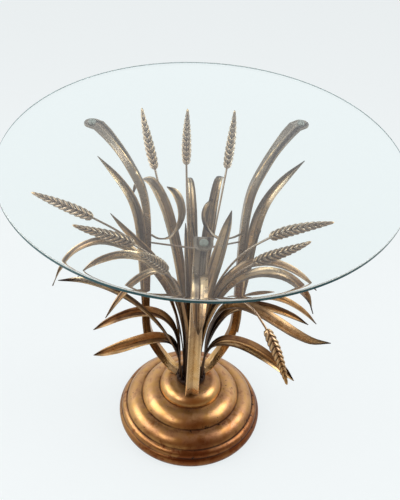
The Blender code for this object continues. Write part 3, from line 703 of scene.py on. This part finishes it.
def glass_edge():
    """The ground edge gathers the green of the pane; a painted reflection lightens it towards the back, and
    a painted highlight lines its upper corner.
    """
    material, place, shader = new_material("glass_edge")
    ground = place.noise(220.0, 3.0, 0.6)
    # Lighter towards the back: a painted reflection.
    fade = place.part(1).step(*GLASS_EDGE_REFLECTION_DEPTHS)
    green = fade.mixed(colour(0.022, 0.105, 0.125), colour(0.260, 0.370, 0.390))
    # A pale line along the upper corner: a painted highlight.
    tint = place.part(2).step(*GLASS_HIGHLIGHT_HEIGHTS).mixed(green, colour(0.84, 0.97, 0.98))
    plug(shader, Base_Color=tint, Roughness=0.15 + ground * 0.15, Transmission_Weight=0.15, IOR=GLASS_IOR)
    lets_light_by(material, shader, colour(0.60, 0.76, 0.76))
    return material


def clear_bumper():
    material, place, shader = new_material("clear_bumper")
    haze = place.noise(400.0, 2.0)
    tint = haze.step(0.3, 0.7).mixed(colour(0.48, 0.51, 0.47), colour(0.34, 0.37, 0.33))
    plug(shader, Base_Color=tint, Roughness=0.25 + haze * 0.2, Transmission_Weight=0.6, IOR=1.42)
    return material


def green_felt():
    material, place, shader = new_material("green_felt")
    fibres = place.noise(1400.0, 4.0, 0.8)
    tint = fibres.step(0.30, 0.70).mixed(colour(0.012, 0.050, 0.025), colour(0.040, 0.115, 0.060))
    plug(shader, Base_Color=tint, Roughness=0.95, Normal=fibres.bump(0.6, 0.0008))
    return material


def cast_iron():
    material, place, shader = new_material("cast_iron")
    grain = place.noise(260.0, 4.0, 0.7)
    tint = grain.step(0.35, 0.72).mixed(colour(0.045, 0.043, 0.042), colour(0.085, 0.060, 0.045))
    plug(shader, Base_Color=tint, Metallic=0.7, Roughness=0.55 + grain * 0.2,
         Normal=grain.bump(0.5, 0.001))
    return material


def zinc_steel():
    material, place, shader = new_material("zinc_steel")
    spangle = place.noise(300.0, 2.0)
    tint = spangle.step(0.35, 0.65).mixed(colour(0.52, 0.53, 0.53), colour(0.62, 0.62, 0.58))
    plug(shader, Base_Color=tint, Metallic=1.0, Roughness=0.28 + spangle * 0.2)
    return material


def lowest(point):
    return point.z


def farthest_out(point):
    return -math.hypot(point.x, point.y)


def nearest_axis(point):
    return math.hypot(point.x, point.y)


def leftmost(point):
    return point.x


def build_leaves(material):
    """All sheet leaves and blades; gives the middles of the roots that stand on the hub."""
    names = sorted(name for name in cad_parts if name.startswith(("leaf_", "blade_")))
    roots = []
    for number, name in enumerate(names):
        first = farthest_out if "curled" in name else lowest
        rows = rows_of(rings_of(name, first, ROOT_REACH))
        if "arm" not in name and "curled" not in name:
            roots.append(rows[0].mid)
        wavered = []
        for index, row in enumerate(finer_rows(rows, LEAF_ALONG)):
            waver = 1.0 + LEAF_WAVER * math.sin(index * LEAF_WAVER_TURN + number * LEAF_WAVER_SHIFT)
            wavered.append(row._replace(half=row.half * waver, lift=row.lift * waver))
        leaf = strip(name + "_sheet", wavered, LEAF_ACROSS, LEAF_THICKNESS, LEAF_BULGE, SHEET_EDGE)
        settle(leaf, material, "gilt", "stand", name)
    return roots


def tab_rows(start, centre, level):
    """Rows of the flat round tab, from the bend to its outer end."""
    outward = Vector((centre.x, centre.y, 0.0)).normalized()
    rows = []
    for step in range(1, TAB_ROWS + 1):
        angle = TAB_START + TAB_SWEEP * step / TAB_ROWS
        mid = Vector((centre.x, centre.y, level)) + outward * (TAB_RADIUS * math.sin(angle))
        half = TAB_RADIUS * math.cos(max(angle, 0.0))
        rows.append(Row(mid, start.side, start.up, max(half, SHEET_EDGE), 0.0))
    return rows


def build_arms(material, clear):
    """Folded arms with a round tab, a rivet in each foot and a clear bumper in each hole."""
    for name in ("front", "right", "left"):
        low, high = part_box("bumper_" + name)
        centre = (low + high) / 2
        rings = rings_of("arm_" + name, nearest_axis, ARM_FOOT_REACH)[:ARM_FOLLOWED_RINGS + 1]
        rows = finer_rows(rows_of(rings), ARM_ALONG)
        level = rows[-1].mid.z
        rows += tab_rows(rows[-1], centre, level)
        arm = strip("arm_" + name + "_strip", rows, ARM_ACROSS, ARM_THICKNESS, 0.0, ARM_EDGE)
        drill = added("drill", bpy.ops.mesh.primitive_cylinder_add, vertices=TAB_HOLE_SEGMENTS,
                      radius=TAB_HOLE_RADIUS, depth=DRILL_DEPTH, location=(centre.x, centre.y, level))
        finish_with(arm, "BOOLEAN", object=drill, operation="DIFFERENCE")
        bpy.data.objects.remove(drill)
        settle(arm, material, "gilt", "stand", "arm_" + name)

        foot = rows[0].mid + (rows[FOOT_ROWS].mid - rows[0].mid).normalized() * FOOT_RIVET_INSET
        outline = [(FOOT_RIVET_RADIUS * across, FOOT_RIVET_RADIUS * rise)
                   for across, rise in FOOT_RIVET_OUTLINE]
        rivet = spun("foot_rivet_" + name, outline, FOOT_RIVET_SEGMENTS,
                     foot + Vector((0.0, 0.0, ARM_THICKNESS / 2)), ROUND_CREASE_ANGLE)
        settle(rivet, material, "gilt", "stand")

        reach = (high.x - low.x) / 2
        rise = high.z - level - ARM_THICKNESS / 2
        seat = level + ARM_THICKNESS / 2 + PAD_SEAT_GAP
        outline = [(0.0, high.z)]
        outline += [(reach * across, high.z - rise * drop) for across, drop in PAD_CROWN]
        outline += [(reach * PAD_SEAT_SHARE, seat), (PAD_NECK_RADIUS, seat)]
        outline += [(radius, low.z + height) for radius, height in PAD_BARB]
        outline.append((0.0, low.z))
        bumper = spun("bumper_" + name + "_pad", outline, PAD_SEGMENTS, (centre.x, centre.y, 0.0))
        settle(bumper, clear, "bumper", "stand", "bumper_" + name)


def build_tie_wire(material):
    centres = [middle(ring) for ring in rings_of("tie_wire", leftmost, WIRE_END_REACH)]
    wire = tube("tie_wire_rod", finer_points(centres, TIE_STEPS), TIE_RADIUS, TIE_SIDES)
    settle(wire, material, "gilt", "stand", "tie_wire")


def ear_swell(share):
    """Size along an ear: round at its base, fullest low down, then drawn to a point."""
    if share < EAR_FULLEST_SHARE:
        rise = math.sin(math.pi / 2 * share / EAR_FULLEST_SHARE)
        cap = max(1.0 - share / EAR_ROUND_SHARE, 0.0)
        return (EAR_BASE_SHARE + (1.0 - EAR_BASE_SHARE) * rise) * math.sqrt(1.0 - cap * cap)
    fall = (share - EAR_FULLEST_SHARE) / (1.0 - EAR_FULLEST_SHARE)
    point = min((1.0 - share) / EAR_POINT_SHARE, 1.0)
    return (1.0 - (1.0 - EAR_TIP_SHARE) * fall**EAR_TAPER_POWER) * math.sqrt(max(point, 0.0))


def kernel_height(share, aside):
    """Height of the herringbone, 0 to 1, at a share of the length and of the way from seam to edge."""
    turn = (share * EAR_LENGTH - aside * KERNEL_LEAD) / KERNEL_SPACING
    turn -= math.floor(turn)
    rise = min(turn / KERNEL_CREST, 1.0) ** KERNEL_RISE_POWER
    fall = min((1.0 - turn) / (1.0 - KERNEL_CREST), 1.0) ** KERNEL_FALL_POWER
    seam = math.sqrt(min(aside / SEAM_SHARE, 1.0))
    return rise * fall * (SEAM_HEIGHT + (1.0 - SEAM_HEIGHT) * seam)


def new_ear(seam):
    """An upright ear at the origin: a ball drawn out to a club, with a herringbone of kernels in it."""
    ear = added("ear", bpy.ops.mesh.primitive_uv_sphere_add, segments=EAR_AROUND, ring_count=EAR_ALONG,
                radius=1.0)
    crest = ear.data.attributes.new("crest", "FLOAT", "POINT")
    for vertex, value in zip(ear.data.vertices, crest.data):
        share = math.acos(min(max(-vertex.co.z, -1.0), 1.0)) / math.pi
        angle = math.atan2(vertex.co.y, vertex.co.x)
        aside = math.acos(abs(math.cos(angle - seam))) / (math.pi / 2)
        size = ear_swell(share)
        fade = min(share / KERNEL_FADE_BASE, (1.0 - share) / KERNEL_FADE_TIP, 1.0)
        height = 1.0 - fade * (1.0 - kernel_height(share, aside))
        inset = KERNEL_RELIEF * (1.0 - height) * min(size * KERNEL_RELIEF_GAIN, 1.0)
        vertex.co = (math.cos(angle) * max(EAR_BROAD / 2 * size - inset, 0.0),
                     math.sin(angle) * max(EAR_NARROW / 2 * size - inset, 0.0), share * EAR_LENGTH)
        value.value = height
    tidy_mesh(ear, EAR_CREASE_ANGLE)
    return ear


def stem_line(rings):
    """A function of the middle, side and up at a length along an ear's stem and ear, and their length."""
    centres = [middle(ring) for ring in rings]
    fullest = max(rings, key=lambda ring: max((p - middle(ring)).length for p in ring))
    far = max((p - q for p in fullest for q in fullest), key=lambda d: d.length).normalized()
    fine = finer_points(centres, STEM_FINE_STEPS)
    fine.append(fine[-1] + (fine[-1] - fine[-5]).normalized() * EAR_OVERSHOOT)
    lengths = [0.0]
    for before, after in zip(fine, fine[1:]):
        lengths.append(lengths[-1] + (after - before).length)

    def at(length):
        index = max(i for i in range(len(lengths) - 1) if lengths[i] <= max(length, 0.0))
        share = (length - lengths[index]) / max(lengths[index + 1] - lengths[index], 1e-9)
        ahead = fine[min(index + STEM_LOOK, len(fine) - 1)]
        along = (ahead - fine[max(index - STEM_LOOK, 0)]).normalized()
        side = (far - along * far.dot(along)).normalized()
        return fine[index].lerp(fine[index + 1], share), side, along.cross(side)

    return at, lengths[-1]


def build_ears(material):
    """All ears on their stems; gives the places of the stems' roots."""
    way = Vector(EAR_SEAM_WAY)
    roots = []
    for name in sorted(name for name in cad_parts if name.startswith("ear_")):
        at, length = stem_line(rings_of(name, lowest, ROOT_REACH))
        roots.append(at(0.0)[0])
        start = length - EAR_LENGTH
        bend = [at(start + EAR_LENGTH * step / EAR_BEND_STEPS) for step in range(EAR_BEND_STEPS + 1)]
        _, side, up = bend[EAR_BEND_STEPS // 2]
        ear = new_ear(math.atan2(way.dot(up), way.dot(side)))
        for vertex in ear.data.vertices:
            place = min(max(vertex.co.z / EAR_LENGTH, 0.0), 1.0) * EAR_BEND_STEPS
            index = min(int(place), EAR_BEND_STEPS - 1)
            low, high = bend[index], bend[index + 1]
            point, side, up = [a.lerp(b, place - index) for a, b in zip(low, high)]
            vertex.co = point + side * vertex.co.x + up * vertex.co.y
        line = [at((start + STEM_SUNK) * step / STEM_ALONG)[0] for step in range(STEM_ALONG + 1)]
        stem = tube("stem", line, STEM_RADIUS, STEM_SIDES)
        for value in stem.data.attributes.new("crest", "FLOAT", "POINT").data:
            value.value = STEM_CREST
        ear = joined(name + "_casting", [ear, stem])
        shade_round(ear)
        settle(ear, material, "gilt", "stand", name)
    return roots


def swelled_arc(start, end, swell, steps):
    """Points from start to end, end left out, on an arc that swells to its right."""
    start = Vector(start)
    end = Vector(end)
    chord = end - start
    outward = Vector((chord.y, -chord.x)).normalized()
    half = chord.length / 2
    radius = (half * half + swell * swell) / (2 * swell)
    centre = (start + end) / 2 + outward * (swell - radius)
    sweep = 2 * math.asin(half / radius)
    return [centre + Matrix.Rotation(sweep * step / steps, 2) @ (start - centre) for step in range(steps)]


def build_base(material):
    outline = []
    for start, end, swell in zip(BASE_CORNERS, BASE_CORNERS[1:], BASE_SWELLS):
        outline += [tuple(point) for point in swelled_arc(start, end, swell, BASE_ROUND)]
    top_radius, top = BASE_CORNERS[-1]
    outline += [(top_radius, top), (top_radius * BASE_FLAT_SHARE, top), (BASE_BORE, top),
                (BASE_BORE, top - BASE_WALL)]
    inside = [(radius - BASE_WALL, max(height - BASE_WALL, 0.0)) for radius, height in BASE_CORNERS]
    outline += reversed(inside)
    base = spun("base_spinning", outline, BASE_SEGMENTS)
    settle(base, material, "gilt", "stand", "base_shell")


def build_hub(material, roots):
    """The hub, with a fillet of braze round every root."""
    low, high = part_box("sheaf_hub")
    radius = (high.x - low.x) / 2
    outline = [(0.0, low.z), (radius, low.z)]
    outline += [(radius - inset, high.z - drop) for inset, drop in HUB_EDGE]
    outline.append((0.0, high.z))
    pieces = [spun("hub_disc", outline, HUB_SEGMENTS)]
    for root in roots:
        fillet = added("fillet", bpy.ops.mesh.primitive_uv_sphere_add, segments=FILLET_SEGMENTS,
                       ring_count=FILLET_RINGS, radius=1.0)
        grow = Matrix.Diagonal((*FILLET_SIZE, 1.0))
        fillet.data.transform(Matrix.Translation((root.x, root.y, high.z)) @ grow)
        pieces.append(fillet)
    hub = joined("hub_braze", pieces)
    finish_with(hub, "REMESH", mode="VOXEL", voxel_size=BRAZE_VOXEL, adaptivity=0.0)
    finish_with(hub, "SMOOTH", factor=BRAZE_SMOOTHING, iterations=BRAZE_SMOOTHINGS)
    shade_round(hub)
    settle(hub, material, "gilt", "stand", "sheaf_hub")


def build_glass(pane, edge):
    """The pane, with a rim between its faces and its rounded edge, which has a material of its own."""
    low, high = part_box("glass_top")
    glass = added("glass_pane", bpy.ops.mesh.primitive_cylinder_add, vertices=GLASS_SEGMENTS,
                  radius=GLASS_RADIUS, depth=high.z - low.z)
    glass.data.transform(Matrix.Translation((0.0, 0.0, (low.z + high.z) / 2)))
    bpy.ops.object.mode_set(mode="EDIT")
    bpy.ops.mesh.select_mode(type="FACE")
    bpy.ops.mesh.select_all(action="DESELECT")
    bpy.ops.object.mode_set(mode="OBJECT")
    for face in glass.data.polygons:
        face.select = abs(face.normal.z) > FLAT_NORMAL
    bpy.ops.object.mode_set(mode="EDIT")
    bpy.ops.mesh.inset(thickness=GLASS_RIM)
    bpy.ops.object.mode_set(mode="OBJECT")
    round_edges(glass, GLASS_EDGE_ROUND, GLASS_EDGE_SEGMENTS)
    tidy_mesh(glass)
    settle(glass, pane, "glass", "glass", "glass_top")
    glass.data.materials.append(edge)
    for face in glass.data.polygons:
        face.material_index = 0 if abs(face.normal.z) > FLAT_NORMAL else 1


def dress_hidden_parts(felt, iron, steel):
    for name, material in (("felt_disc", felt), ("ballast_disc", iron), ("rod_washer", steel),
                           ("rod_nut", steel), ("tie_rod", steel), ("rod_sleeve", steel)):
        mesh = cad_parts[name].data
        mesh.materials.clear()
        mesh.materials.append(material)


def build_floor():
    """A pale floor that glows evenly where it is seen, and has other tones where metal mirrors it."""
    floor = added("floor", bpy.ops.mesh.primitive_plane_add, size=FLOOR_SIZE)
    material, place, shader = new_material("pale_floor")
    plug(shader, Base_Color=colour(*FLOOR_COLOUR), Roughness=0.9, Specular_IOR_Level=0.0)
    rays = material.node_tree.nodes.new("ShaderNodeLightPath").outputs
    seen = Wire(rays["Is Camera Ray"])
    mirrored = Wire(rays["Is Glossy Ray"])
    passed = Wire(rays["Is Transmission Ray"])
    far = (place.part(1) - place.part(0) * MIRRORED_FLOOR_SLANT).step(*MIRRORED_FLOOR_FADE)
    in_metal = mirrored * (1.0 - passed)
    tone = in_metal.mixed(colour(*FLOOR_COLOUR),
                          far.mixed(colour(*MIRRORED_FLOOR_NEAR), colour(*MIRRORED_FLOOR_FAR)))
    glow = tone.make("ShaderNodeEmission", None, {"Color": tone, "Strength": 1.0})
    show(material, (seen + mirrored + passed).clamped() * FLOOR_GLOW, shader, glow)
    floor.data.materials.append(material)


def add_lamp(name, place, aim, size, power, tint):
    lamp = bpy.data.lights.new(name, "AREA")
    lamp.shape = "RECTANGLE"
    lamp.size, lamp.size_y = size
    lamp.energy = power
    lamp.color = tint
    holder = bpy.data.objects.new(name, lamp)
    holder.location = place
    holder.rotation_euler = (Vector(aim) - Vector(place)).to_track_quat("-Z", "Y").to_euler()
    bpy.context.scene.collection.objects.link(holder)


def light_scene():
    """A white wall behind the table, a dim room before it, and soft boxes left, right and front left."""
    world = bpy.data.worlds.new("studio")
    bpy.context.scene.world = world
    world.use_nodes = True
    tree = world.node_tree
    way = Wire(tree.nodes.new("ShaderNodeTexCoord").outputs["Generated"])
    behind = (way.part(1) - way.part(0) * WALL_SLANT).step(*WALL_FADE)
    wall = behind * (1.0 - way.part(2).step(*CEILING_FADE) * CEILING_LOSS)
    around = wall.mixed(colour(*ROOM_COLOUR), colour(*WALL_COLOUR))
    tree.links.new(around.socket, tree.nodes["Background"].inputs["Color"])
    tree.nodes["Background"].inputs["Strength"].default_value = 1.0
    for lamp in LAMPS:
        add_lamp(*lamp)


def place_camera():
    lens = bpy.data.cameras.new("camera")
    lens.lens = CAMERA_LENS
    lens.sensor_width = CAMERA_SENSOR
    camera = bpy.data.objects.new("camera", lens)
    turn = Matrix.Rotation(-math.radians(CAMERA_YAW), 4, "Z")
    nod = Matrix.Rotation(math.radians(90.0 - CAMERA_PITCH), 4, "X")
    roll = Matrix.Rotation(math.radians(CAMERA_ROLL), 4, "Z")
    camera.matrix_world = Matrix.Translation(CAMERA_PLACE) @ turn @ nod @ roll
    bpy.context.scene.collection.objects.link(camera)
    bpy.context.scene.camera = camera


bpy.context.scene.view_settings.view_transform = "Standard"
place_camera()
build_floor()
light_scene()
arm_gilding = gilt_arm()
wire_gilding = gilt_wire()
build_arms(arm_gilding, clear_bumper())
build_tie_wire(wire_gilding)
stood_on_hub = build_leaves(gilt_leaf()) + build_ears(gilt_ear())
build_hub(wire_gilding, stood_on_hub)
build_base(gilt_base())
build_glass(clear_glass(), glass_edge())
dress_hidden_parts(green_felt(), cast_iron(), zinc_steel())
